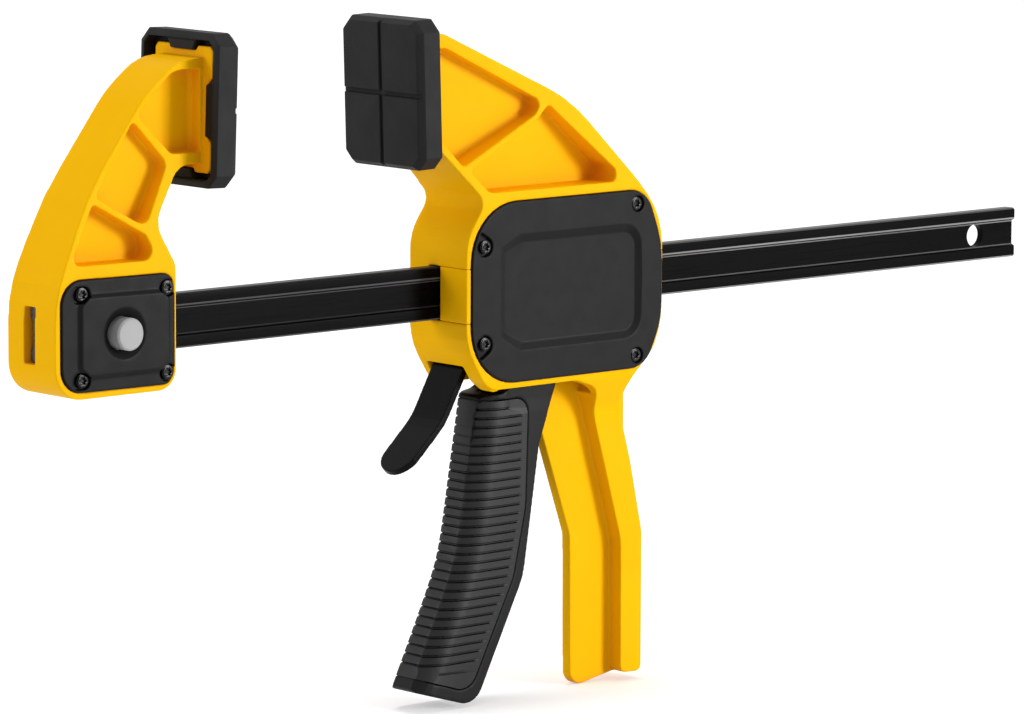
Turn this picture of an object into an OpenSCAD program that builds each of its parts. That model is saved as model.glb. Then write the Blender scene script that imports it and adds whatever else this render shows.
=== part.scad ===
// Quick release bar clamp: a steel bar with a fixed jaw, and a trigger-driven body with the moving jaw.
// Millimetres, +Z up towards the jaws, +X along the bar towards its free end.
// The origin is the centre of the moving jaw's clamping face.

/* [Bar] */
// Height of the bar
bar_h = 20.5; // [18:0.1:21]
// Thickness of the bar over its flanges
bar_t = 6.2; // [5:0.1:6.6]
// Thickness of the bar's web between the flanges
bar_web = 3.2; // [2:0.1:4]
// Height of each flange of the bar
bar_lip = 4.6; // [3.6:0.1:5.2]
// Overall length of the bar
bar_len = 507.9; // [430:1:620]
// Radius of the hole near each end of the bar
bar_hole_r = 4.65; // [3.5:0.05:5]
// Distance of each hole from its end of the bar
bar_hole_inset = 22.1; // [20:0.1:26]

/* [Opening] */
// Distance between the clamping faces at mid height
opening = 86.9; // [20:0.1:250]
// Height of the middle of the clamping faces above the bar's axis
throat = 78.3; // [76:0.1:82]
// Lean of each clamping face towards the other, in degrees
toe_in = 1.88; // [0:0.01:3]

/* [Pads] */
// Width of a pad
pad_w = 46.4; // [40:0.1:50]
// Height of a pad
pad_h = 57; // [54:0.1:60]
// Depth of a pad
pad_d = 11.1; // [9.5:0.1:13]
// Cut across each corner of a pad
pad_corner = 4.6; // [2:0.1:7]
// Bevel around the clamping face
pad_bevel = 1.8; // [0.5:0.1:3]
// Width of the grooves across the clamping face
pad_groove_w = 1.7; // [0.8:0.1:3]
// Depth of the grooves across the clamping face
pad_groove_d = 1.2; // [0.4:0.1:2]
// Wall around the hollow back of a pad
pad_rim = 2.8; // [2:0.1:4]
// Thickness of rubber in front of the pad plate
pad_face_t = 5.6; // [4:0.1:6.5]
// Thickness of the plate that carries a pad
plate_t = 3; // [2:0.1:4]
// Width of the plate that carries a pad
plate_w = 34; // [30:0.1:36]
// Height of the plate that carries a pad
plate_h = 46.6; // [40:0.1:48]

/* [Body] */
// Length of the body along the bar
body_len = 101.7; // [97:0.1:108]
// Height of the body above the bar's axis, under the arm's pockets
body_top = 38.9; // [37.5:0.1:41]
// Depth of the body below the bar's axis
body_bottom = 37.3; // [36.5:0.1:39.5]
// Distance of the near side, which carries the cover, from the bar's centre plane
body_near = 19.1; // [18:0.1:22]
// Distance of the far side from the bar's centre plane
body_far = 14.5; // [13.8:0.1:18]
// Thickness of the body's end walls
end_wall = 8; // [6:0.1:9]
// Thickness of the body's far wall
far_wall = 3; // [2:0.1:3.5]
// Half width of the jaw arm's flanges
arm_half = 12.3; // [10:0.1:14]
// Depth from the centre plane to the floor of the near pockets
pocket_near = 5.5; // [3:0.1:7]
// Depth from the centre plane to the floor of the far pockets
pocket_far = 2; // [1:0.1:5]
// Thickness of the ribs between the pockets
rib_t = 2.2; // [1.5:0.1:3]

/* [Covers] */
// Thickness of the body's cover
cover_t = 3.4; // [2.6:0.1:4.5]
// How far the body's cover stands out from the body
cover_proud = 0.8; // [0.3:0.1:1.5]
// Depth of the bare recessed panel in the cover
panel_depth = 1.5; // [0.5:0.1:2]
// Thickness of the fixed jaw's cover at its edge
jaw_cover_t = 3; // [2.4:0.1:4]
// How far the raised middle of the jaw's cover stands out
jaw_cover_raise = 1.3; // [0.5:0.1:2]
// Clearance around a cover in its seat
cover_fit = 0.2; // [0.1:0.05:0.4]
// Radius of a cover screw's head
screw_head_r = 2.6; // [2.4:0.1:3.2]
// Radius of a cover screw's shank
screw_r = 1.5; // [1:0.05:1.8]
// Length of a cover screw's shank
screw_len = 7; // [6:0.5:8]

/* [Handle] */
// Thickness of the handle's web
web_t = 4.6; // [3.6:0.1:5.4]
// Width of the handle's rear flange
flange_w = 18; // [14:0.5:20]
// Depth of the handle's lower end below the bar's axis
handle_reach = 158.6; // [152:0.1:165]

/* [Trigger] */
// Width of the trigger
trigger_w = 20; // [18:0.1:20.6]
// Width of the flat front of the trigger
trigger_front_w = 10.6; // [6:0.1:12]
// Width of the channel that takes the handle's web
channel_w = 6.6; // [6:0.1:7.4]
// Radius of the trigger's pivot pin
pin_r = 3; // [2:0.1:4]
// Running clearance of the trigger on its pin
pin_fit = 0.05; // [0.02:0.01:0.09]
// Distance of the grooves in the grip from each other
groove_pitch = 3.46; // [3:0.02:6]
// Depth of the grooves in the grip
groove_d = 0.65; // [0.2:0.05:1]
// Thickness of the soft grip on the trigger's sides
grip_t = 2; // [1:0.1:2.8]

/* [Release lever] */
// Width of the release lever
lever_w = 18; // [14:0.1:20]
// Thickness of the release lever
lever_t = 2.6; // [2.2:0.1:3.6]
// Length of the release lever below its bend
lever_len = 26.7; // [20:0.1:30]
// Bend in the release lever, in degrees
lever_turn = 17.7; // [12:0.1:20]

/* [Mechanism] */
// Clearance of the bar in its guides
slide_fit = 0.25; // [0.1:0.05:0.4]
// Clearance of the drive plates' windows around the bar
jam_fit = 0.35; // [0.25:0.05:0.5]
// Clearance of the brake plate's window around the bar, which lets the plate tip
brake_fit = 0.6; // [0.5:0.05:0.8]
// Thickness of the brake plate
brake_t = 3; // [2:0.1:3.4]
// Thickness of one drive plate
drive_t = 2.4; // [1.5:0.1:3]
// Number of drive plates
drive_count = 2; // [1:1:2]
// Width of the jam plates
jam_w = 16.5; // [14:0.5:17]
// Radius of the springs' wire
wire_r = 0.7; // [0.4:0.05:0.9]
// Radius of the release button
button_r = 6; // [4.5:0.1:6.5]
// How far the release button stands out of its cover
button_out = 3.7; // [3.5:0.1:5]
// Travel of the release button
button_travel = 3.4; // [3:0.1:3.5]

/* [Hidden] */

$fn = 48;
eps = 0.01;
big = 400;
arc_step = 11;

yellow = [1, 0.74, 0.03];
black = [0.13, 0.13, 0.14];
rubber = [0.17, 0.17, 0.18];
steel = [0.62, 0.63, 0.65];
grey = [0.6, 0.6, 0.6];

// Below, X is measured from the body's front wall and Z from the bar's axis.
pad_x = -27;

// Moving jaw and body
cover_seat = body_near + cover_proud - cover_t;
screw_seat = 2;
cover_screw_end = -body_near - cover_proud + screw_seat + screw_len;
front_bulge = 9.7;
neck_x = body_len - 15.3;
flange_back = body_len - 0.5;
flange_front = flange_back - 11;
throat_x = 71.6;
swell_x = 16.6;
plate_back_x = pad_x + pad_face_t + plate_t;
cavity_half = trigger_w / 2 + 0.6;
cavity_far = body_far - far_wall;
guide_h = bar_h + 2 * slide_fit;
channel_half_t = bar_t / 2 + slide_fit;

// Fixed jaw
jaw_face_x = pad_x - opening;
jaw_plate_back_x = jaw_face_x - pad_face_t - plate_t;
jaw_x = jaw_face_x - 49.5;
jaw_left = jaw_x - 30.1;
jaw_right = jaw_x + 25.4;
jaw_near = 15.7;
jaw_far = 12.9;
jaw_cover_proud = 0.9;
jaw_cover_seat = jaw_near + jaw_cover_proud - jaw_cover_t;
jaw_cover_face = jaw_near + jaw_cover_proud;
jaw_screw_end = -jaw_cover_face + screw_seat + screw_len;
jaw_base = 22.9;
bar_left = jaw_left + 3.1;
bar_right = bar_left + bar_len;
lock_x = bar_left + bar_hole_inset;

// Trigger, brake and drive
pivot = [40, 20];
trigger_z = -38.2;
trigger_bend = [7, -105.4];
trigger_toe = [-16.95, -152.75];
grip_top = -43;
grip_seam = 0.35;
channel_end = -146;
brake_x = 14;
brake_top = 21;
drive_x = 51;
spring_turns = 7;
brake_spring_r = 2.7;
brake_spring_z = -18;

// ---- Outlines: a list of corners [x, z, radius] becomes a list of points with round corners ----
function unit(v) = v / norm(v);
function corner(a, p, b, r) =
    let (u = unit([a[0] - p[0], a[1] - p[1]]), v = unit([b[0] - p[0], b[1] - p[1]]),
         opening_angle = acos(max(-1, min(1, u * v))), turn = 180 - opening_angle,
         start = [p[0], p[1]] + u * r / tan(opening_angle / 2),
         centre = [p[0], p[1]] + unit(u + v) * r / sin(opening_angle / 2),
         side = sign(u[1] * v[0] - u[0] * v[1]), from = atan2(start[1] - centre[1], start[0] - centre[0]),
         steps = max(1, ceil(turn / arc_step)))
    [for (i = [0:steps]) let (a = from + side * turn * i / steps) centre + r * [cos(a), sin(a)]];
function rounded(c) =
    let (n = len(c))
    [for (i = [0:n - 1])
        each c[i][2] > 0 ? corner(c[(i + n - 1) % n], c[i], c[(i + 1) % n], c[i][2]) : [[c[i][0], c[i][1]]]];

// A flat outline in X and Z, with thickness from y0 to y1
module slab(points, y0, y1) translate([0, y1, 0]) rotate([90, 0, 0]) linear_extrude(y1 - y0) polygon(points);
// An outline in Y and Z, with length from x0 to x1
module beam(points, x0, x1) translate([x0, 0, 0]) rotate([90, 0, 90]) linear_extrude(x1 - x0) polygon(points);
// A cylinder along Y, from y0 to y1, at [x, z]
module rod(at, r, y0, y1) translate([at[0], y1, at[1]]) rotate([90, 0, 0]) cylinder(r = r, h = y1 - y0);
module block(low, high) translate(low) cube(high - low);

body_outline = rounded([
    [plate_back_x - 1, throat + 22, 0], [-6, throat + 22.2, 8], [59.7, 71.2, 54], [body_len, 24.3, 31],
    [body_len, -19, 34], [body_len - 4.8, -28.5, 14], [neck_x + 2, -36.8, 6], [neck_x, -44, 16],
    [flange_back - 6.4, -73.5, 60], [flange_back, -102.3, 14],
    [flange_back, -handle_reach, 2.6], [flange_front, -handle_reach + 0.6, 2.6],
    [flange_front - 0.4, -104.5, 24], [throat_x, -body_bottom - 4.6, 11], [throat_x - 14, -body_bottom, 8],
    [11.2, -body_bottom, 10.5], [0, -19.6, 26], [0, 22, 20], [front_bulge, 35.4, 6], [plate_back_x - 1, 66, 0]
]);
// Seen from the front: the arm narrows upwards, and the body narrows down into the handle
body_section = rounded([
    [-arm_half, big, 0], [-arm_half, 70, 40], [-body_near, 39, 24], [-body_near, -body_bottom + 1, 9],
    [-flange_w / 2, -52, 14], [-flange_w / 2, -big, 0], [flange_w / 2, -big, 0],
    [flange_w / 2, -52, 14], [body_far, -body_bottom + 1, 9], [body_far, 39, 24], [arm_half - 0.4, 70, 40],
    [arm_half - 0.4, big, 0]
]);
web_outline = rounded([
    [28.3, -13.5, 0], [34, -13.5, 0], [34, -19, 0], [flange_back - 4, -19, 0],
    [flange_back - 4, -handle_reach + 1.2, 0], [69.3, -handle_reach - 4.1, 6], [68.7, -101.3, 5],
    [46, -body_bottom, 3], [28.3, -25, 1]
]);
// Edge of the body's cover, drawn out by d
function cover_points(d) = rounded([
    [2.4 - d, 35 + d, 22.5 + d], [body_len - 9.1 + d, 35 + d, 12 + d], [body_len - 0.9 + d, 13.5, 34 + d],
    [body_len - 0.9 + d, -17, 30 + d], [body_len - 9.3 + d, -34.8 - d, 12 + d], [2.4 - d, -34.8 - d, 22.5 + d]
]);
cavity_outline = rounded([
    [end_wall, 31, 14], [body_len - 15.4, 31, 10], [body_len - end_wall, 14, 12],
    [body_len - end_wall, -16, 12], [body_len - 17.4, -31, 9], [end_wall, -31, 7]
]);
// Room for the release lever and the trigger to come out of the bottom of the body
mouth_outline = [
    [-5, -28], [end_wall - 1.8, -28], [end_wall, -22], [throat_x + 2.2, -22], [throat_x + 2.2, -42],
    [throat_x, -45], [throat_x, -80], [-5, -80]
];
cover_screws_at = [[9.6, 18.4], [9.6, -19], [body_len - 13.9, 29.7], [body_len - 13.9, -29.9]];

rear_pocket_top = 71.6;
upper_pocket = rounded([
    [plate_back_x + 1.5, throat + 16.6, 0], [-5, throat + 16.6, 6], [44.6, rear_pocket_top, 3],
    [39.8, 66.7, 4], [0.4, 49.4, 2], [plate_back_x + 1.5, 69.5, 0]
]);
lower_pocket = rounded([
    [44.4 + rib_t * 1.4, rear_pocket_top - 1, 2.2], [77.8, 43.6, 2.8], [76.8, body_top, 2.6],
    [12, body_top, 6], [0.4 + rib_t * 1.2, 49.4 - rib_t * 0.7, 2], [40.5 + rib_t * 0.4, 66.7 - rib_t * 0.6, 4]
]);

jaw_outline = rounded([
    [jaw_left, -jaw_base, 12], [jaw_left, 15.5, 50], [jaw_left + 16.2, 49.5, 110],
    [jaw_left + 44.2, 85.8, 45], [jaw_left + 59, throat + 19, 22], [jaw_plate_back_x + 1, throat + 19.6, 0],
    [jaw_plate_back_x + 1, throat - 19, 0], [jaw_right + 3.5, throat - 19.6, 9], [jaw_right - 8.4, 38.5, 10],
    [jaw_right, 23, 9], [jaw_right, -jaw_base, 8]
]);
jaw_section = rounded([
    [-arm_half, big, 0], [-arm_half, 62, 40], [-jaw_near, 24, 40], [-jaw_near, -big, 0],
    [jaw_far, -big, 0], [jaw_far, 24, 40], [arm_half - 0.4, 62, 40], [arm_half - 0.4, big, 0]
]);
// Edge of the fixed jaw's cover, drawn out by d
function jaw_cover_points(d) = rounded([
    [jaw_left + 2.6 - d, 20.8 + d, 9 + d], [jaw_right - 1.4 + d, 20.1 + d, 5.2 + d],
    [jaw_right - 1.4 + d, -20.6 - d, 5.2 + d], [jaw_left + 2.6 - d, -20.1 - d, 9 + d]
]);
jaw_screws_at = [
    [jaw_left + 12.2, 15.3], [jaw_left + 12.2, -16.1], [jaw_right - 4.1, 14.9], [jaw_right - 4.1, -16.3]
];
jaw_lower_pocket = rounded([
    [jaw_left + 7, 25.8, 3], [jaw_left + 19, 47.6, 1.5], [jaw_left + 42.5, 34.8, 4],
    [jaw_left + 47.3, 25.4, 4]
]);
jaw_middle_pocket = rounded([
    [jaw_left + 19.6 + rib_t * 0.3, 47.6 + rib_t, 2], [jaw_left + 38.4, 76.4, 1.5], [jaw_left + 54, 60.2, 4],
    [jaw_left + 41.5 + rib_t * 0.5, 35.4 + rib_t, 4]
]);
jaw_upper_pocket = rounded([
    [jaw_left + 39 + rib_t * 0.5, 76.6 + rib_t, 3], [jaw_left + 57, throat + 15.6, 10],
    [jaw_plate_back_x - 1.5, throat + 15.6, 0], [jaw_plate_back_x - 1.5, throat - 15, 0],
    [jaw_left + 55 + rib_t * 0.5, 61 + rib_t, 4]
]);

trigger_outline = rounded([
    [18, -41.2, 2.4], [27, -40.4, 6], [31, trigger_z, 0], [55.8, trigger_z, 0], [46.5, -62, 12],
    [38.5, -113.5, 25], [13.8, -161.8, 9], [trigger_toe[0], trigger_toe[1], 2.6],
    [trigger_bend[0] - 1.5, trigger_bend[1], 60]
]);
// The grip's lower border: height at x
function border_z(x) = -152.6 - 0.3 * x;
// Side view of the grip, drawn in by d at its border
function grip_points(d) = rounded([
    [-60, grip_top - d, 0], [40.5 - d, grip_top - d, 6], [39.2 - d, -86, 30], [33 - d, -113.2, 20],
    [11 - d, border_z(11 - d) + d, 8], [-60, border_z(-60) + d, 0]
]);
arm_outline = rounded([
    [31.5, trigger_z - 4, 0], [31.5, pivot[1] + 8.5, 8], [48.5, pivot[1] + 8.5, 8], [drive_x - 3, 6, 4],
    [drive_x - 0.6, 2.2, 1.6], [drive_x - 0.35, -1, 2.5], [drive_x - 4.2, -9, 6], [drive_x - 5.7, -18, 3],
    [54.4, trigger_z, 0], [53.8, trigger_z - 4, 0]
]);
channel_outline = [
    [25, -30], [25, -48], [trigger_bend[0] + 7, trigger_bend[1]], [1, channel_end + 6], [6, channel_end],
    [90, channel_end], [90, -30]
];

// Front of the trigger at height z, with the bend rounded by a smooth blend
function front_x(z) =
    let (upper = trigger_bend[0] + (z - trigger_bend[1]) * 0.158,
         lower = trigger_bend[0] + (z - trigger_bend[1]) * 0.495)
    (upper + lower) / 2 - sqrt(pow((upper - lower) / 2, 2) + 2.2);

// Rear edge of the grip at height z; the first groove stops short of it
rear_edge = [[-156, 10], [-113.2, 33], [-86, 39.2], [-49.4, 40.4], [-47, 33.6]];
function groove_end(z) = lookup(z, rear_edge) - 2.8;

// Half of the trigger's cross-section at height z: flat front, curved cheek, gently curved side
side_fall = 0.4;
cheek_angles = [0, 12, 24, 36, 47];
function half_ring(z, inset) =
    let (half = trigger_w / 2, flat = trigger_front_w / 2, last = cheek_angles[len(cheek_angles) - 1],
         r = (half - flat) / (1 - cos(last)), front = front_x(z), cheek = r * sin(last))
    concat(
        [[front + inset, flat * 0.6]],
        [for (a = cheek_angles)
            [front + inset * 0.7 + cheek - r * sin(last - a),
                flat + r * (cos(last - a) - cos(last)) - inset * 0.8]],
        [[(front + cheek + groove_end(z)) / 2, half - side_fall / 4 - inset],
            [groove_end(z) - 0.8, half - side_fall - inset],
            [groove_end(z), half - side_fall - 0.05], [front + 70, half - side_fall * 6]]);
function ring(z, inset) =
    let (side = half_ring(z, inset), n = len(side))
    [for (p = concat(side, [for (i = [n - 1:-1:0]) [side[i][0], -side[i][1]]])) [p[0], p[1], z]];

// Skin over rings of points, closed at both ends
module skin(rings) {
    n = len(rings[0]);
    m = len(rings);
    polyhedron(
        points = [for (r = rings) each r],
        faces = concat(
            [[for (i = [0:n - 1]) i]],
            [for (k = [0:m - 2], i = [0:n - 1]) each let (a = k * n + i, b = k * n + (i + 1) % n)
                [[a, a + n, b], [b, a + n, b + n]]],
            [[for (i = [n - 1:-1:0]) (m - 1) * n + i]]));
}

// A coil of round wire along X, oval across it, from x0 to x1
module coil(x0, x1, half_y, half_z, turns, per_turn = 14, wire = wire_r) {
    sides = 6;
    steps = turns * per_turn;
    length = x1 - x0 - 2 * wire;
    skin([for (k = [0:steps]) let (a = 360 * k / per_turn, x = x0 + wire + length * k / steps)
        [for (s = [0:sides - 1]) let (b = -360 * s / sides, out = wire * cos(b))
            [x + wire * sin(b), (half_y + out) * cos(a), (half_z + out) * sin(a)]]]);
}

module from_pad() translate([-pad_x, 0, -throat]) children();
// Puts a clamping face, modelled at the origin and facing -X, on its jaw
module on_moving_jaw() translate([pad_x, 0, throat]) rotate([0, -toe_in, 0]) children();
module on_fixed_jaw() translate([jaw_face_x, 0, throat]) rotate([0, toe_in, 0]) mirror([1, 0, 0]) children();

function pad_ring(w, h, c) = [
    [-w / 2 + c, -h / 2], [w / 2 - c, -h / 2], [w / 2, -h / 2 + c], [w / 2, h / 2 - c],
    [w / 2 - c, h / 2], [-w / 2 + c, h / 2], [-w / 2, h / 2 - c], [-w / 2, -h / 2 + c]
];

module pad() {
    hollow_w = pad_w - 2 * pad_rim;
    hollow_h = pad_h - 2 * pad_rim;
    bevel_w = pad_w - 2 * pad_bevel;
    bevel_h = pad_h - 2 * pad_bevel;
    difference() {
        hull() {
            beam(pad_ring(pad_w, pad_h, pad_corner), pad_bevel * 1.4, pad_d - 0.8);
            beam(pad_ring(bevel_w, bevel_h, pad_corner * 0.8), 0, pad_d);
        }
        beam(pad_ring(hollow_w, hollow_h, pad_corner * 0.6), pad_face_t, pad_d + 1);
        block([-1, -pad_groove_w / 2, -pad_h], [pad_groove_d, pad_groove_w / 2, pad_h]);
        block([-1, -pad_w, -pad_groove_w / 2], [pad_groove_d, pad_w, pad_groove_w / 2]);
    }
    // Clips that hold the plate by the notches in its edges
    clip_z = hollow_h / 2 - (hollow_h - plate_h) / 2 - notch_top + 0.2;
    clip_y = hollow_w / 2 - (hollow_w - plate_w) / 2 - notch_side + 0.2;
    for (s = [-1, 1]) {
        root_z = s * (hollow_h / 2 + eps);
        root_y = s * (hollow_w / 2 + eps);
        beam([[-6.6, s * clip_z], [6.6, s * clip_z], [8.4, root_z], [-8.4, root_z]],
            pad_face_t, pad_d - 1.2);
        beam([[s * clip_y, -9.6], [root_y, -11.4], [root_y, 11.4], [s * clip_y, 9.6]],
            pad_face_t, pad_d - 1.2);
    }
}

notch_top = 1.6;
notch_side = 2;
// Plate on the end of a jaw arm that a pad clips onto, with a notch in each edge
module pad_plate() {
    difference() {
        beam(pad_ring(plate_w, plate_h, 1.6), pad_face_t, pad_face_t + plate_t);
        for (s = [-1, 1]) {
            beam([[-7, s * (plate_h / 2 - notch_top)], [7, s * (plate_h / 2 - notch_top)],
                [9, s * (plate_h / 2 + 1)], [-9, s * (plate_h / 2 + 1)]], 0, 20);
            beam([[s * (plate_w / 2 - notch_side), -10], [s * (plate_w / 2 + 1), -13],
                [s * (plate_w / 2 + 1), 13], [s * (plate_w / 2 - notch_side), 10]], 0, 20);
        }
    }
}

// Blends the thin web of an arm into the plate behind its pad
module plate_blend(x, way, z0, z1) {
    r = 7;
    for (s = [-1, 1])
        difference() {
            y0 = s < 0 ? -pocket_near : pocket_far;
            block([min(x, x + way * r), min(y0, y0 + s * r), z0],
                [max(x, x + way * r), max(y0, y0 + s * r), z1]);
            translate([x + way * r, y0 + s * r, z0 - 1]) cylinder(r = r, h = z1 - z0 + 2);
        }
}

// Body and moving jaw as moulded, before the bar's channel is opened
module body_solid() {
    difference() {
        union() {
            difference() {
                intersection() {
                    slab(body_outline, -body_near, body_far);
                    beam(body_section, -60, 160);
                }
                slab(upper_pocket, -30, -pocket_near);
                slab(upper_pocket, pocket_far, 30);
                slab(lower_pocket, -30, -pocket_near);
                slab(lower_pocket, pocket_far, 30);
                slab(cover_points(cover_fit), -30, -cover_seat);
                slab(cavity_outline, -cover_seat - 1, cavity_far);
                slab(mouth_outline, -cavity_half, cavity_half);
            }
            intersection() {
                plate_blend(plate_back_x - 0.5, 1, 60, throat + 18);
                slab(body_outline, -arm_half, arm_half);
            }
            on_moving_jaw() pad_plate();
            slab(web_outline, -web_t / 2, web_t / 2);
            // Seat of the brake spring on the end of the web
            block([28.3, -brake_spring_r - wire_r, -22], [30.4, brake_spring_r + wire_r, -13.5]);
            brake_seat();
            // Low round swelling on the near side of the body's underside
            intersection() {
                rod([swell_x, -body_bottom + 5.1], 6, -16.5, -11.2);
                block([swell_x - 9, -body_near, -big], [swell_x + 9, 0, -body_bottom + 2.3]);
            }
            // Bosses for the cover's screws
            for (p = cover_screws_at) intersection() {
                rod(p, 6.2, -cover_seat, cover_screw_end + 1);
                slab(body_outline, -body_near, 0);
            }
        }
        for (p = cover_screws_at) rod(p, screw_r + eps, -cover_seat - 1, cover_screw_end + 0.3);
        rod(pivot, pin_r + eps, cavity_far - 1, cavity_far + 2);
    }
}

// Notch that holds the top edge of the brake plate, which tips about it
module brake_seat() difference() {
    block([end_wall - 0.5, -jam_w / 2, brake_top - 8],
        [brake_x + brake_t + 3, cavity_far + 0.5, brake_top + 3.5]);
    block([brake_x - 0.1, -jam_w, brake_top - 9],
        [brake_x + brake_t + 0.6, jam_w / 2 + 0.6, brake_top + 0.5]);
    block([brake_x - 0.1, -jam_w, brake_top - 9], [brake_x + brake_t + 4, jam_w, brake_top - 2.5]);
}

module bar_slot(x0, x1, clearance)
    block([x0, -big, -guide_h / 2 + clearance], [x1, channel_half_t, guide_h / 2 - clearance]);

module body_housing() color(yellow) from_pad() difference() {
    body_solid();
    bar_slot(-1, end_wall + 0.5, 0);
    bar_slot(body_len - end_wall - 0.5, body_len + 1, 0);
}

// Blocks that close the body's end walls beside the bar
module bar_guide(x0, x1) color(yellow) from_pad() intersection() {
    body_solid();
    block([x0, -big, -guide_h / 2 + 0.05], [x1, -channel_half_t, guide_h / 2 - 0.05]);
}
module front_bar_guide() bar_guide(-1, end_wall);
module rear_bar_guide() bar_guide(body_len - end_wall, body_len + 1);

module moving_jaw_pad() color(rubber) from_pad() on_moving_jaw() pad();

// Hole and pocket for a cover screw; the pocket can run on towards -X
socket_r = screw_head_r + 0.6;
module screw_socket(p, face, run = 0) {
    rod(p, screw_r + 0.2, -face - 1, 0);
    rod(p, socket_r, -face - 1, -face + screw_seat);
    if (run > 0) {
        rod([p[0] - run, p[1]], socket_r, -face - 1, -face + screw_seat);
        block([p[0] - run, -face - 1, p[1] - socket_r], [p[0], -face + screw_seat, p[1] + socket_r]);
    }
}

module body_cover() color(black) from_pad() {
    face = body_near + cover_proud;
    difference() {
        slab(cover_points(0), -face, -cover_seat);
        hull() {
            slab(panel_points(0), -face - eps, -face);
            slab(panel_points(panel_depth * 2), -face, -face + panel_depth);
        }
        for (i = [2, 3]) screw_socket(cover_screws_at[i], face);
        // Drop-shaped pockets that run from the front screws out to the corners
        for (i = [0, 1]) {
            p = cover_screws_at[i];
            way = sign(p[1]);
            rod(p, screw_r + 0.2, -face - 1, 0);
            hull() {
                rod([p[0] - 1, p[1] + way * 0.3], screw_head_r + 1.4, -face - 1, -face + screw_seat, $fn = 32);
                rod([p[0] - 2.7, p[1] + way * 5.2], 0.7, -face - 1, -face + screw_seat, $fn = 32);
            }
        }
    }
    // Boss that carries the near end of the trigger pin
    difference() {
        rod(pivot, pin_r + 2.4, -cover_seat, -cavity_half);
        rod(pivot, pin_r + eps, -cover_seat + 1, -cavity_half + 1);
    }
}
// Edge of the bare panel, drawn in by d
function panel_points(d) = rounded([
    [16.8 + d, 17.2 - d * 0.4, 1.5], [26.4 + d * 0.8, 22.2 - d, 1.5],
    [body_len - 12 - d * 0.8, 22.2 - d, 9 - d], [body_len - 11.4 - d, 0, 0],
    [body_len - 12 - d * 0.8, -22.8 + d, 9 - d], [26.6 + d * 0.8, -22.8 + d, 1.5],
    [16.8 + d, -16.6 + d * 0.4, 1.5]
]);

// Pan head with a six-lobed drive, on a plain shank along +Y; the head's seat is at y
module cover_screw(p, y) {
    head_h = 1.5;
    difference() {
        union() {
            rod(p, screw_head_r - 0.3, y - head_h, y);
            rod(p, screw_head_r, y - head_h + 0.4, y);
        }
        rod(p, 1.1, y - head_h - 1, y - head_h + 0.9);
        for (a = [0:60:300])
            rod(p + 1.1 * [cos(a), sin(a)], 0.42, y - head_h - 1, y - head_h + 0.9, $fn = 16);
    }
    rod(p, screw_r, y, y + screw_len);
}
module body_cover_screws() color(black) from_pad()
    for (p = cover_screws_at) cover_screw(p, -body_near - cover_proud + screw_seat);

module trigger_pin() color(steel) from_pad() rod(pivot, pin_r, -cover_seat + 1.1, cavity_far + 1.9);

// Moulded shape of trigger and grip together, with a row of grooves down the grip
groove_top = -45.9;
groove_bottom = -142.9;
short_groove = [[-5.5, -146.3], [13.6, -146.9], [13.6, -147.9], [-5.5, -147.3]];
groove_count = floor((groove_top - groove_bottom) / groove_pitch) + 1;
function groove_stations() = [for (i = [0:groove_count - 1]) each let (z = groove_top - i * groove_pitch)
    [[z, 0], [z - 0.3, groove_d], [z - 0.8, groove_d], [z - 1.1, 0]]];
module trigger_form(grooved) {
    stations = grooved
        ? concat([[-36, 0], [-44, 0]], groove_stations(), [[-153, 0], [-168, 0]])
        : [for (z = [-36:-6.6:-168]) [z, 0]];
    intersection() {
        skin([for (s = stations) ring(s[0], s[1])]);
        slab(trigger_outline, -trigger_w, trigger_w);
    }
}

// Hard core of the trigger: a channel open to the rear, with two arms that straddle the bar
module trigger_lever() color(black) from_pad() difference() {
    union() {
        difference() {
            trigger_form(false);
            slab(grip_points(0), -trigger_w, -trigger_w / 2 + grip_t);
            slab(grip_points(0), trigger_w / 2 - grip_t, trigger_w);
            slab(grip_front(), -trigger_w, trigger_w);
        }
        for (s = [-1, 1]) slab(arm_outline, s * 6.3 - 2.6, s * 6.3 + 2.6);
    }
    slab(channel_outline, -channel_w / 2, channel_w / 2);
    rod(pivot, pin_r + pin_fit, -30, 30);
}
// Region in front of the hard core, filled by the grip
function grip_front() = let (low = -139.6, x = front_x(low) + 4.6) [
    for (z = [grip_top, -70, -95, -105, -115, -128]) [front_x(z) + 4.6, z],
    [x, low], [x, border_z(x) + 0.1], [-60, border_z(-60) + 0.1], [-60, grip_top]
];

module trigger_grip() color(rubber) from_pad() difference() {
    side = trigger_w / 2;
    intersection() {
        difference() {
            trigger_form(true);
            difference() {
                slab(trigger_outline, -side + grip_t - 0.02, side - grip_t + 0.02);
                slab(grip_front(), -trigger_w, trigger_w);
            }
        }
        slab(grip_points(grip_seam), -trigger_w, trigger_w);
    }
    // Short groove between the last full one and the border
    slab(short_groove, -trigger_w, -side + groove_d);
    slab(short_groove, side - groove_d, trigger_w);
}

// Steel plate with a window for the bar, at the origin, from z0 to z1
module jam_plate(t, z0, z1, fit) difference() {
    beam(rounded([[-jam_w / 2, z0, 2], [-jam_w / 2, z1, 3], [jam_w / 2, z1, 3], [jam_w / 2, z0, 2]]), 0, t);
    block([-1, -bar_t / 2 - fit, -bar_h / 2 - fit], [t + 1, bar_t / 2 + fit, bar_h / 2 + fit]);
}
module drive_plates() color(steel) from_pad()
    for (i = [0:drive_count - 1])
        translate([drive_x + i * drive_t, 0, 0]) jam_plate(drive_t, -14.5, 15, jam_fit);
module drive_spring() color(steel) from_pad()
    coil(drive_x + drive_count * drive_t, body_len - end_wall,
        bar_t / 2 + 4.6, bar_h / 2 + 2.2, spring_turns);
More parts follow.
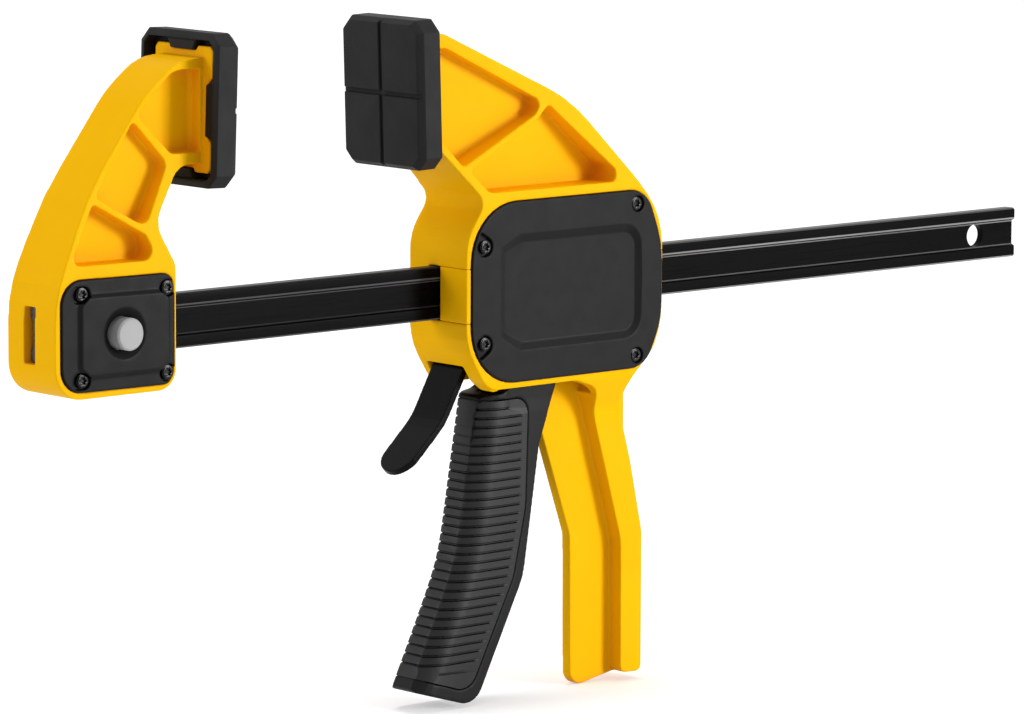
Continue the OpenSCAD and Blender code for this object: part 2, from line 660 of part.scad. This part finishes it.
// The brake plate's top edge is round, and tips in its notch
module brake_plate() color(steel) from_pad() translate([brake_x, 0, 0]) intersection() {
    jam_plate(brake_t, -21.6, brake_top, brake_fit);
    union() {
        block([-1, -jam_w, -big], [brake_t + 1, jam_w, brake_top - brake_t / 2]);
        rod([brake_t / 2, brake_top - brake_t / 2], brake_t / 2, -jam_w, jam_w);
    }
}
module brake_spring() color(steel) from_pad() translate([0, 0, brake_spring_z])
    coil(20.4, 28.3, brake_spring_r - 0.2, brake_spring_r - 0.2, 4, 12, wire_r * 0.7);

// Bent finger lever with a head that holds the brake plate's lower end
lever_lean = 29.2;
lever_start = [12.65, -19.14];
lever_upper = 33.7;
bend_r = 25;
function down(a) = [-sin(a), -cos(a)];
function rearward(a) = [cos(a), -sin(a)];
lever_bend = lever_start + lever_upper * down(lever_lean);
lever_tip = lever_bend + lever_len * down(lever_lean + lever_turn);
// The face of the lever drawn back by d, with its bend round
function lever_face(d) = let (a = rearward(lever_lean), b = rearward(lever_lean + lever_turn)) [
    each [[each lever_start + d * a, 0]], [each lever_bend + d * (a + b) / (1 + a * b), bend_r + d],
    [each lever_tip + d * b, 0]
];
module release_lever() color(black) from_pad() difference() {
    // The tip is a full round, a touch wider than the lever
    tip_r = lever_w / 2 + 0.2;
    tip_centre = lever_tip - tip_r * down(lever_lean + lever_turn);
    back = lever_face(lever_t);
    union() {
        intersection() {
            slab(rounded(concat(lever_face(0), [back[2], back[1], back[0]])), -lever_w / 2, lever_w / 2);
            translate([tip_centre[0], 0, tip_centre[1]]) rotate([0, lever_lean + lever_turn, 0]) union() {
                rotate([0, 90, 0]) cylinder(r = tip_r, h = 2 * tip_r, center = true);
                block([-lever_len, -lever_w, 0], [lever_len, lever_w, 3 * lever_len]);
            }
        }
        slab(rounded([[10.6, -13.4, 1], [20.2, -13.4, 1], [20.2, -22.4, 3], [13.5, -26, 2], [10.6, -20, 0]]),
            -lever_w / 2, lever_w / 2);
    }
    // Slot that holds the lower end of the brake plate
    block([brake_x - 0.1, -jam_w / 2 - 0.1, -21.7], [brake_x + brake_t + 0.1, jam_w / 2 + 0.1, 0]);
}

module bar() color(black) from_pad() {
    t = bar_t / 2;
    w = bar_web / 2;
    h = bar_h / 2;
    lip = h - bar_lip;
    edge = 0.7;
    difference() {
        beam([
            [-t, h - edge], [-t + edge, h], [t - edge, h], [t, h - edge], [t, lip], [w, lip - 0.8],
            [w, -lip + 0.8], [t, -lip], [t, -h + edge], [t - edge, -h], [-t + edge, -h], [-t, -h + edge],
            [-t, -lip], [-w, -lip + 0.8], [-w, lip - 0.8], [-t, lip]
        ], bar_left, bar_right);
        for (x = [lock_x, bar_right - bar_hole_inset]) rod([x, 0], bar_hole_r, -t - 1, t + 1);
    }
}

// Fixed jaw
yoke_near = -10.5;
yoke_t = 1.5;
yoke_half = 14.2;
leg_t = 1.6;
far_pocket = channel_half_t + 2.1;
yoke_far = far_pocket + 0.4;
yoke_stop = yoke_far + yoke_t + button_travel + 0.15;
yoke_x0 = lock_x - 4.6;
yoke_x1 = jaw_x + button_r + 1.6;
module fixed_jaw_housing() color(yellow) from_pad() {
    difference() {
        intersection() {
            slab(jaw_outline, -jaw_near, jaw_far);
            beam(jaw_section, -big, 0);
        }
        for (p = [jaw_lower_pocket, jaw_middle_pocket, jaw_upper_pocket]) {
            slab(p, -30, -pocket_near - 1);
            slab(p, pocket_far + 1, 30);
        }
        slab(jaw_cover_points(cover_fit), -30, -jaw_cover_seat);
        block([jaw_left - 1, -channel_half_t, -guide_h / 2], [jaw_right + 1, channel_half_t, guide_h / 2]);
        // Room for the button, its spring and the yoke around the bar
        block([yoke_x0 - 1.5, -20, -yoke_half - 1], [yoke_x1 + 1.5, -channel_half_t - 1.7, yoke_half + 1]);
        block([yoke_x0 - 0.6, far_pocket, -yoke_half - 0.4], [yoke_x1 + 0.6, yoke_stop, yoke_half + 0.4]);
        for (s = [-1, 1])
            block([yoke_x0 - 0.6, -20, s > 0 ? yoke_half - leg_t - 0.4 : -yoke_half - 0.4],
                [yoke_x1 + 0.6, yoke_stop, s > 0 ? yoke_half + 0.4 : -yoke_half + leg_t + 0.4]);
        rod([lock_x, 0], bar_hole_r, 0, far_pocket + 1);
        for (p = jaw_screws_at) rod(p, screw_r + eps, -20, jaw_screw_end + 0.3);
    }
    intersection() {
        plate_blend(jaw_plate_back_x + 0.5, -1, throat - 17, throat + 17);
        slab(jaw_outline, -arm_half, arm_half);
    }
    on_fixed_jaw() pad_plate();
}

module fixed_jaw_cover() color(black) from_pad() difference() {
    union() {
        slab(jaw_cover_points(0), -jaw_cover_face, -jaw_cover_seat);
        hull() {
            slab(jaw_plateau(0), -jaw_cover_face - eps, -jaw_cover_face);
            slab(jaw_plateau(jaw_cover_raise), -jaw_cover_face - jaw_cover_raise, -jaw_cover_face);
        }
    }
    translate([jaw_x, -jaw_cover_face - jaw_cover_raise - eps, 0]) rotate([-90, 0, 0])
        cylinder(r1 = button_r + 3.6, r2 = button_r + 0.3, h = jaw_cover_raise + 1);
    rod([jaw_x, 0], button_r + 0.3, -30, 0);
    for (i = [0:3]) screw_socket(jaw_screws_at[i], jaw_cover_face, i < 2 ? 2.2 : 1.2);
}
// Raised middle of the jaw's cover, drawn in by d
function jaw_plateau(d) = rounded([
    [jaw_left + 9.6 + d, 11, 1], [jaw_left + 13 + d, 15.4 - d, 1], [jaw_right - 6.8 - d, 14.8 - d, 2],
    [jaw_right - 3.8 - d, 11.4, 1], [jaw_right - 3.8 - d, -12.4, 1], [jaw_right - 6.8 - d, -15.6 + d, 2],
    [jaw_left + 13 + d, -15.6 + d, 1], [jaw_left + 9.6 + d, -11.4, 1]
]);
module fixed_jaw_cover_screws() color(black) from_pad()
    for (p = jaw_screws_at) cover_screw(p, -jaw_cover_face + screw_seat);
module fixed_jaw_pad() color(rubber) from_pad() on_fixed_jaw() pad();

module release_button() color(grey) from_pad() {
    out = jaw_cover_face + jaw_cover_raise + button_out;
    translate([jaw_x, -out, 0]) rotate([-90, 0, 0]) {
        cylinder(r1 = button_r - 0.7, r2 = button_r, h = 0.7);
        translate([0, 0, 0.7]) cylinder(r = button_r, h = out + yoke_near - 0.7 - yoke_t);
    }
    rod([jaw_x, 0], button_r + 1.2, -jaw_cover_seat + 0.1, yoke_near - yoke_t);
}

// Frame around the bar: the button pushes its near side, and its far side draws the tooth out of the bar
module lock_yoke() color(steel) from_pad() {
    block([yoke_x0, yoke_near - yoke_t, -yoke_half], [yoke_x1, yoke_near, yoke_half]);
    block([yoke_x0, yoke_far, -yoke_half], [yoke_x1, yoke_far + yoke_t, yoke_half]);
    for (z = [-yoke_half, yoke_half - leg_t])
        block([yoke_x0, yoke_near - yoke_t, z], [yoke_x1, yoke_far + yoke_t, z + leg_t]);
    rod([lock_x, 0], bar_hole_r - 0.3, -bar_web / 2, yoke_far + eps);
}
module button_spring() color(steel) from_pad() translate([jaw_x, yoke_near, 0]) rotate([0, 0, 90])
    coil(0, -channel_half_t - 1.7 - yoke_near, 4.8, 4.8, 3, 14, wire_r * 0.5);

body_housing();
body_cover();
body_cover_screws();
front_bar_guide();
rear_bar_guide();
moving_jaw_pad();
trigger_pin();
trigger_lever();
trigger_grip();
drive_plates();
drive_spring();
brake_plate();
brake_spring();
release_lever();
bar();
fixed_jaw_housing();
fixed_jaw_cover();
fixed_jaw_cover_screws();
fixed_jaw_pad();
release_button();
lock_yoke();
button_spring();
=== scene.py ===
"""Looks of the quick release bar clamp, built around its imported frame."""
import math

import bmesh
import bpy
from mathutils import Matrix, Vector


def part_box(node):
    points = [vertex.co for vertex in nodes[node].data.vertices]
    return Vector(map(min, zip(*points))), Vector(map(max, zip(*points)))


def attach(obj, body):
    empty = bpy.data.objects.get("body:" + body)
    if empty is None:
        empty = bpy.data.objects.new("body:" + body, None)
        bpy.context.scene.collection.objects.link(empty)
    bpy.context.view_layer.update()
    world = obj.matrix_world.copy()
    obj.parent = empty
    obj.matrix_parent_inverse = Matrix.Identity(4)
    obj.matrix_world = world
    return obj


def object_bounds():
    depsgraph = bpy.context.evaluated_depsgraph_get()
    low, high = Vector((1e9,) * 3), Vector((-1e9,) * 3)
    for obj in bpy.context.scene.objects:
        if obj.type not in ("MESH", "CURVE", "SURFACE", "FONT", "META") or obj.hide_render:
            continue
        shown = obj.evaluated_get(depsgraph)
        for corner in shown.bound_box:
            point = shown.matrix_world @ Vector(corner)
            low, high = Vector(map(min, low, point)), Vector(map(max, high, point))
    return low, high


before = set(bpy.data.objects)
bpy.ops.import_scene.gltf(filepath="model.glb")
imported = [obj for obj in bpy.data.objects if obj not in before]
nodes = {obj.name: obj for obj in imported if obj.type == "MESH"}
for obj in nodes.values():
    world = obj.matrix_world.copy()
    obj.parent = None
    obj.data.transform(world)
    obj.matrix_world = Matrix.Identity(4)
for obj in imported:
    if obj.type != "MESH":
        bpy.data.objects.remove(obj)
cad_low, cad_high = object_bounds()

MM = 0.001


# ---- Colours and node graphs ----
def rgb(red, green, blue):
    return (red, green, blue, 1.0)


def grey(value):
    return rgb(value, value, value)


WHITE = grey(1.0)
OCCLUSION_SAMPLES = 8


class Graph:
    """The node graph of a material or of the world, with short calls for the nodes that this script needs.
    """

    def __init__(self, owner, output="OutputMaterial"):
        owner.use_nodes = True
        self.owner = owner
        self.tree = owner.node_tree
        self.tree.nodes.clear()
        self.output = self.add(output)

    def add(self, kind, inputs=None, **settings):
        node = self.tree.nodes.new("ShaderNode" + kind)
        for key, value in settings.items():
            setattr(node, key, value)
        for key, value in (inputs or {}).items():
            self.put(node, key, value)
        return node

    def put(self, node, key, value):
        if isinstance(value, bpy.types.NodeSocket):
            self.tree.links.new(value, node.inputs[key])
        else:
            node.inputs[key].default_value = value

    def place(self):
        """The point in the piece's own space, in metres."""
        return self.add("TexCoord").outputs["Object"]

    def noise(self, scale, detail=2.0, roughness=0.5, stretch=None):
        at = self.place()
        if stretch:
            at = self.add("Mapping", {"Vector": at, "Scale": stretch}).outputs["Vector"]
        return self.add("TexNoise", {"Vector": at, "Scale": scale, "Detail": detail,
                                     "Roughness": roughness}).outputs["Fac"]

    def ramp(self, value, low, high, to_low=0.0, to_high=1.0):
        return self.add("MapRange", {"Value": value, "From Min": low, "From Max": high,
                                     "To Min": to_low, "To Max": to_high}).outputs["Result"]

    def math(self, kind, a, b=0.0):
        node = self.add("Math", operation=kind)
        self.put(node, 0, a)
        self.put(node, 1, b)
        return node.outputs[0]

    def mix(self, share, a, b):
        node = self.add("Mix", data_type="RGBA")
        self.put(node, 0, share)
        self.put(node, 6, a)
        self.put(node, 7, b)
        return node.outputs[2]

    def bump(self, height, strength, distance, under=None):
        node = self.add("Bump", {"Height": height, "Strength": strength, "Distance": distance})
        if under:
            self.put(node, "Normal", under)
        return node.outputs["Normal"]

    def open_share(self, reach, low, high):
        """1 on an open surface and 0 deep in a slot or corner, by what stands around within reach."""
        hidden = self.add("AmbientOcclusion", {"Distance": reach}, samples=OCCLUSION_SAMPLES)
        return self.ramp(hidden.outputs["AO"], low, high)

    def seen(self):
        """1 for rays from the camera, reflected or through glass too, and 0 for other light."""
        path = self.add("LightPath").outputs
        mirrored = self.math("MAXIMUM", path["Is Glossy Ray"], path["Is Transmission Ray"])
        return self.math("MAXIMUM", path["Is Camera Ray"], mirrored)

    def finish(self, shader):
        self.tree.links.new(shader.outputs[0], self.output.inputs["Surface"])
        return self.owner

    def surface(self, **inputs):
        shader = self.add("BsdfPrincipled")
        for key, value in inputs.items():
            self.put(shader, key.replace("_", " "), value)
        return self.finish(shader)


def new_graph(name):
    return Graph(bpy.data.materials.new(name))


# ---- Materials; grain is in waves per metre, and depth in millimetres ----
# Reach of the occlusion mask for painted shade in pockets, slots and inner corners.
POCKET_REACH = 9.0 * MM
# Reach of the groove mask, and the near black that grooves are darkened towards as painted shade.
GROOVE_REACH = 1.3 * MM
PAINTED_GROOVE_SHADE = grey(0.0006)


def moulded(name, base, shade, roughness, specular, grain=1400.0, depth=0.05, deep=None):
    """Injection-moulded plastic: a slight drift of colour, a fine spark-eroded grain and uneven gloss.

    With deep given, slots and inner corners are darkened towards that colour as painted shade."""
    g = new_graph(name)
    drift = g.ramp(g.noise(38.0, 3.0), 0.35, 0.65)
    colour = g.mix(g.math("MULTIPLY", drift, 0.35), base, shade)
    if deep:
        # Painted shade: by ambient occlusion, slots and inner corners are darkened towards the deep colour.
        colour = g.mix(g.open_share(POCKET_REACH, 0.15, 0.75), deep, colour)
    gloss = g.ramp(g.noise(160.0, 4.0), 0.3, 0.7, roughness - 0.05, roughness + 0.06)
    broad = g.bump(g.noise(55.0, 1.0), 0.10, 0.9 * MM)
    normal = g.bump(g.noise(grain, 3.0, 0.6), 0.55, depth * MM, broad)
    return g.surface(Base_Color=colour, Roughness=gloss, Specular_IOR_Level=specular, Normal=normal)


def rubbery(name, base, shade, roughness, specular, depth=0.06):
    """Soft rubber: matte, with a fine even grain and faint scuffs, and painted shade in its grooves, which
    are darker and duller there.
    """
    g = new_graph(name)
    scuffs = g.ramp(g.noise(420.0, 5.0, 0.7, (1.0, 1.0, 0.35)), 0.52, 0.74)
    # Painted shade: by ambient occlusion, grooves are darkened towards near black and their reflection is
    # dimmed.
    clear = g.open_share(GROOVE_REACH, 0.3, 0.9)
    colour = g.mix(clear, PAINTED_GROOVE_SHADE, g.mix(g.math("MULTIPLY", scuffs, 0.5), base, shade))
    gloss = g.ramp(g.noise(90.0, 3.0), 0.3, 0.7, roughness - 0.06, roughness + 0.05)
    normal = g.bump(g.noise(2200.0, 2.0, 0.55), 0.5, depth * MM)
    return g.surface(Base_Color=colour, Roughness=gloss, Normal=normal,
                     Specular_IOR_Level=g.math("MULTIPLY", clear, specular))


def metal(name, base, shade, roughness, stretch=(1.0, 1.0, 1.0)):
    """Bare or plated steel with fine drawn lines along one direction and slight staining."""
    g = new_graph(name)
    lines = g.noise(900.0, 4.0, 0.6, stretch)
    stain = g.ramp(g.noise(70.0, 4.0), 0.35, 0.7)
    colour = g.mix(g.math("MULTIPLY", stain, 0.6), base, shade)
    gloss = g.ramp(lines, 0.3, 0.7, roughness - 0.06, roughness + 0.1)
    return g.surface(Base_Color=colour, Metallic=1.0, Roughness=gloss, Normal=g.bump(lines, 0.4, 0.015 * MM))


# Height above the bar's middle, half width, both in millimetres, and strength of the painted highlight along
# each edge
BAR_EDGES = ((10.2, 0.55, 0.3), (5.9, 0.42, 1.0), (4.7, 0.28, 0.9), (-4.95, 0.26, 0.55), (-9.95, 0.5, 1.0))
EDGE_FADE = 0.12
CUT_FACE = 0.05 * MM
# Distances from the fixed jaw's end between which the painted edge highlight grows from its least share to
# full
HIGHLIGHT_FROM = 0.16
HIGHLIGHT_TO = 0.34
HIGHLIGHT_LEAST = 0.28
ALONG_BAR = (0.3, 1.0, 1.0)


def black_bar(name):
    """Satin black steel bar, with painted highlights as lighter lines along its edges, and bare at its cut
    ends.
    """
    g = new_graph(name)
    place = g.add("SeparateXYZ", {"Vector": g.place()}).outputs
    along = place["X"]
    low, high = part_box("bar")
    up = g.math("SUBTRACT", place["Z"], (low.z + high.z) / 2)
    ends = g.math("MAXIMUM", g.math("GREATER_THAN", along, high.x - CUT_FACE),
                  g.math("LESS_THAN", along, low.x + CUT_FACE))
    highlight_lines = 0.0
    # Painted highlight: lighter lines along the edges stand in for light caught by them, fading towards the
    # fixed jaw's end.
    for level, half, share in BAR_EDGES:
        away = g.math("ABSOLUTE", g.math("SUBTRACT", up, level * MM))
        line = g.ramp(away, half * MM, (half - EDGE_FADE) * MM, 0.0, share)
        highlight_lines = g.math("MAXIMUM", highlight_lines, line)
    drift = g.ramp(g.noise(24.0, 3.0, 0.5, ALONG_BAR), 0.35, 0.65)
    paint = g.mix(drift, rgb(0.0010, 0.0010, 0.0011), rgb(0.0020, 0.0020, 0.0022))
    uneven = g.ramp(g.noise(30.0, 3.0, 0.6, ALONG_BAR), 0.35, 0.65, 0.75, 1.0)
    highlight_strength_along = g.ramp(along, low.x + HIGHLIGHT_FROM, low.x + HIGHLIGHT_TO, HIGHLIGHT_LEAST, 1.0)
    painted_highlight = g.math("MULTIPLY", highlight_lines, g.math("MULTIPLY", uneven, highlight_strength_along))
    bare = g.mix(g.ramp(g.noise(900.0, 4.0), 0.35, 0.65), grey(0.16), grey(0.10))
    lines = g.noise(600.0, 4.0, 0.6, (0.04, 1.0, 1.0))
    # The edges are painted towards light grey as painted highlight; the cut ends are bare steel.
    return g.surface(Base_Color=g.mix(ends, g.mix(painted_highlight, paint, grey(0.30)), bare),
                     Roughness=g.ramp(lines, 0.3, 0.7, 0.24, 0.34),
                     Metallic=g.math("MULTIPLY", ends, 0.5), Specular_IOR_Level=0.03,
                     Normal=g.bump(lines, 0.35, 0.02 * MM))


# The yellow's deep colour is painted shade: its pockets, slots and inner corners are darkened towards it.
YELLOW = moulded("yellow_nylon", rgb(0.95, 0.505, 0.001), rgb(0.93, 0.46, 0.001), 0.46, 0.03,
                 grain=900.0, depth=0.035, deep=rgb(0.84, 0.34, 0.018))
COVER = moulded("black_cover", rgb(0.0065, 0.0065, 0.0070), rgb(0.0090, 0.0090, 0.0095), 0.46, 0.10,
                grain=1500.0)
HARD_BLACK = moulded("black_plastic", rgb(0.0050, 0.0050, 0.0054), rgb(0.0070, 0.0070, 0.0075), 0.42, 0.13)
BUTTON = moulded("grey_button", rgb(0.38, 0.38, 0.385), rgb(0.33, 0.33, 0.335), 0.42, 0.3,
                 grain=1100.0, depth=0.03)
LEVER = moulded("black_lever", rgb(0.0024, 0.0024, 0.0026), rgb(0.0040, 0.0040, 0.0044), 0.24, 0.06,
                grain=700.0, depth=0.02)
SCREW = moulded("black_screw", rgb(0.0040, 0.0040, 0.0044), rgb(0.010, 0.010, 0.011), 0.22, 0.20,
                grain=1200.0, depth=0.01)
GRIP = rubbery("grip_rubber", rgb(0.0042, 0.0042, 0.0045), rgb(0.0090, 0.0090, 0.0094), 0.42, 0.27,
               depth=0.03)
PAD = rubbery("pad_rubber", rgb(0.0125, 0.0125, 0.0130), rgb(0.0180, 0.0180, 0.0185), 0.58, 0.12)
STEEL = metal("plated_steel", rgb(0.52, 0.52, 0.53), rgb(0.38, 0.37, 0.36), 0.34, (0.2, 1.0, 1.0))
SPRING = metal("spring_wire", rgb(0.44, 0.44, 0.46), rgb(0.30, 0.30, 0.31), 0.30)
BAR = black_bar("black_bar")


# ---- CAD nodes: rounded moulded edges by modifiers, and their materials ----
WELD_GAP = 0.01 * MM
FLAT_WEIGHT = 60
EDGE_ANGLE = 30.0
# Wider for the grip, where faces of its curved skin meet at more than that in places
GRIP_EDGE_ANGLE = 50.0


def dress(name, material):
    nodes[name].data.materials.clear()
    nodes[name].data.materials.append(material)


def weld(name):
    joined = nodes[name].modifiers.new("weld", "WELD")
    joined.merge_threshold = WELD_GAP


def smooth_shade(name):
    for polygon in nodes[name].data.polygons:
        polygon.use_smooth = True


def soften(name, voxel, passes, keep):
    """A moulding's edges and corners, rounded all over; keep is the share of faces that stay."""
    weld(name)
    node = nodes[name]
    form = node.modifiers.new("form", "REMESH")
    form.mode = "VOXEL"
    form.voxel_size = voxel * MM
    form.use_smooth_shade = True
    smooth = node.modifiers.new("round", "SMOOTH")
    smooth.factor = 0.5
    smooth.iterations = passes
    fewer = node.modifiers.new("fewer", "DECIMATE")
    fewer.ratio = keep


def bevel(name, width, angle=EDGE_ANGLE):
    """Small even edges on a machined or pressed piece."""
    weld(name)
    smooth_shade(name)
    node = nodes[name]
    edge = node.modifiers.new("edges", "BEVEL")
    edge.width = width * MM
    edge.segments = 2
    edge.limit_method = "ANGLE"
    edge.angle_limit = math.radians(angle)
    edge.use_clamp_overlap = True
    level = node.modifiers.new("level", "WEIGHTED_NORMAL")
    level.weight = FLAT_WEIGHT


COARSE = 1.0
for name, voxel, passes, keep, material in (
        ("body_housing", 0.42, 3, 0.3, YELLOW),
        ("front_bar_guide", 0.35, 2, 0.5, YELLOW),
        ("rear_bar_guide", 0.35, 2, 0.5, YELLOW),
        ("fixed_jaw_housing", 0.42, 3, 0.3, YELLOW),
        ("body_cover", 0.3, 3, 0.35, COVER),
        ("fixed_jaw_cover", 0.3, 3, 0.35, COVER),
        ("trigger_lever", 0.45, 4, 0.4, HARD_BLACK),
        ("release_lever", 0.3, 3, 0.4, LEVER)):
    soften(name, voxel * COARSE, passes, keep)
    dress(name, material)

bevel("trigger_grip", 0.10, GRIP_EDGE_ANGLE)
dress("trigger_grip", GRIP)
for name, width, material in (
        ("moving_jaw_pad", 0.45, PAD),
        ("fixed_jaw_pad", 0.45, PAD),
        ("release_button", 0.5, BUTTON),
        ("bar", 0.3, BAR),
        ("body_cover_screws", 0.12, SCREW),
        ("fixed_jaw_cover_screws", 0.12, SCREW),
        ("trigger_pin", 0.3, STEEL),
        ("drive_plates", 0.25, STEEL),
        ("brake_plate", 0.25, STEEL),
        ("lock_yoke", 0.2, STEEL)):
    bevel(name, width)
    dress(name, material)

for name in ("drive_spring", "brake_spring", "button_spring"):
    weld(name)
    smooth_shade(name)
    rounder = nodes[name].modifiers.new("round", "SUBSURF")
    rounder.levels = 1
    rounder.render_levels = 1
    dress(name, SPRING)


# ---- Dark flash in the seams at the two ends of the grip ----
SEAM_RISE = 0.17 * MM
SEAM_INSET = 0.5 * MM
SEAM_SEARCH = 0.6 * MM


def add_object(name, data):
    made = bpy.data.objects.new(name, data)
    bpy.context.scene.collection.objects.link(made)
    return made


def seam_strip(name, level, slope, reach):
    """A thin plate across the trigger's front, just inside the grip's skin.

    It spans the grip's vertices near the plane z = level - slope * x, as far back as x = reach."""
    points = [v.co for v in nodes["trigger_grip"].data.vertices]
    edge = [p for p in points if abs(p.z - level + slope * p.x) < SEAM_SEARCH and p.x < reach]
    middle = sum(p.x for p in edge) / len(edge)
    made = bmesh.new()
    for p in edge:
        inward = Vector((middle - p.x, -p.y, 0.0)).normalized() * SEAM_INSET
        x = p.x + inward.x
        for rise in (-SEAM_RISE, SEAM_RISE):
            made.verts.new((x, p.y + inward.y, level - slope * x + rise))
    hull = bmesh.ops.convex_hull(made, input=made.verts)
    inner = [item for item in hull["geom_interior"] if isinstance(item, bmesh.types.BMVert)]
    bmesh.ops.delete(made, geom=inner)
    mesh = bpy.data.meshes.new(name)
    made.to_mesh(mesh)
    made.free()
    mesh.materials.append(HARD_BLACK)
    strip = add_object(name, mesh)
    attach(strip, "trigger")


seam_strip("trigger_seam_lower", -222.62 * MM, 0.3, 16.5 * MM)
seam_strip("trigger_seam_upper", -121.48 * MM, 0.0, 49.0 * MM)


# ---- Floor, world, lamps and camera ----
FLOOR_GAP = 0.15 * MM
FLOOR_HALF = 14.0
FLOOR_WHITE = grey(0.86)
# Strength of the world for the light that falls on things; what sees it directly gets 1
WORLD_LIGHT = 0.36
LAMP_AIM = Vector((0.0, 0.0, -0.08))


def floor_material():
    """White seamless paper: matte, with its own white for what sees it directly, more so far away."""
    g = new_graph("floor")
    matte = g.add("BsdfDiffuse", {"Color": FLOOR_WHITE})
    away = g.add("VectorMath", {0: g.place()}, operation="LENGTH").outputs["Value"]
    strength = g.math("MULTIPLY", g.seen(), g.ramp(away, 0.5, 3.5, 0.40, 0.80))
    glow = g.add("Emission", {"Color": WHITE, "Strength": strength})
    both = g.add("AddShader")
    g.tree.links.new(matte.outputs[0], both.inputs[0])
    g.tree.links.new(glow.outputs[0], both.inputs[1])
    return g.finish(both)


floor_z = cad_low.z - FLOOR_GAP
corners = [(x * FLOOR_HALF, y * FLOOR_HALF, floor_z) for x, y in ((-1, -1), (1, -1), (1, 1), (-1, 1))]
floor_mesh = bpy.data.meshes.new("floor")
floor_mesh.from_pydata(corners, [], [(0, 1, 2, 3)])
floor_mesh.materials.append(floor_material())
floor = add_object("floor", floor_mesh)

world = bpy.data.worlds.new("studio")
bpy.context.scene.world = world
sky = Graph(world, "OutputWorld")
strength = sky.ramp(sky.seen(), 0.0, 1.0, WORLD_LIGHT, 1.0)
sky.finish(sky.add("Background", {"Color": WHITE, "Strength": strength}))


def lamp(name, at, size, power):
    data = bpy.data.lights.new(name, "AREA")
    data.shape = "RECTANGLE"
    data.size, data.size_y = size
    data.energy = power
    made = add_object(name, data)
    made.location = at
    made.rotation_euler = (LAMP_AIM - Vector(at)).to_track_quat("-Z", "Y").to_euler()


lamp("key", (1.35, -2.10, 0.30), (0.7, 0.9), 48.0)
lamp("left", (-2.2, 0.9, 0.7), (1.2, 1.2), 20.0)
lamp("top", (0.1, 0.2, 2.4), (1.2, 1.2), 26.0)

# The camera as solved from the photograph: right, up and forward in the clamp's frame, and its place
RIGHT = Vector((0.74873, -0.66286, 0.00450))
UP = Vector((0.08774, 0.10583, 0.99051))
FORWARD = Vector((0.65704, 0.74123, -0.13739))
AT = Vector((-1.45094, -1.71251, 0.21062))
SENSOR = 36.0
FOCAL_PIXELS = 5951.0
IMAGE_WIDTH = 1024.0
camera_data = bpy.data.cameras.new("camera")
camera_data.sensor_width = SENSOR
camera_data.lens = FOCAL_PIXELS * SENSOR / IMAGE_WIDTH
camera_data.clip_start = 0.05
camera_data.clip_end = 60.0
camera = add_object("camera", camera_data)
turn = Matrix((RIGHT, UP, -FORWARD)).transposed().to_4x4()
camera.matrix_world = Matrix.Translation(AT) @ turn
bpy.context.scene.camera = camera

bpy.context.scene.view_settings.view_transform = "Standard"
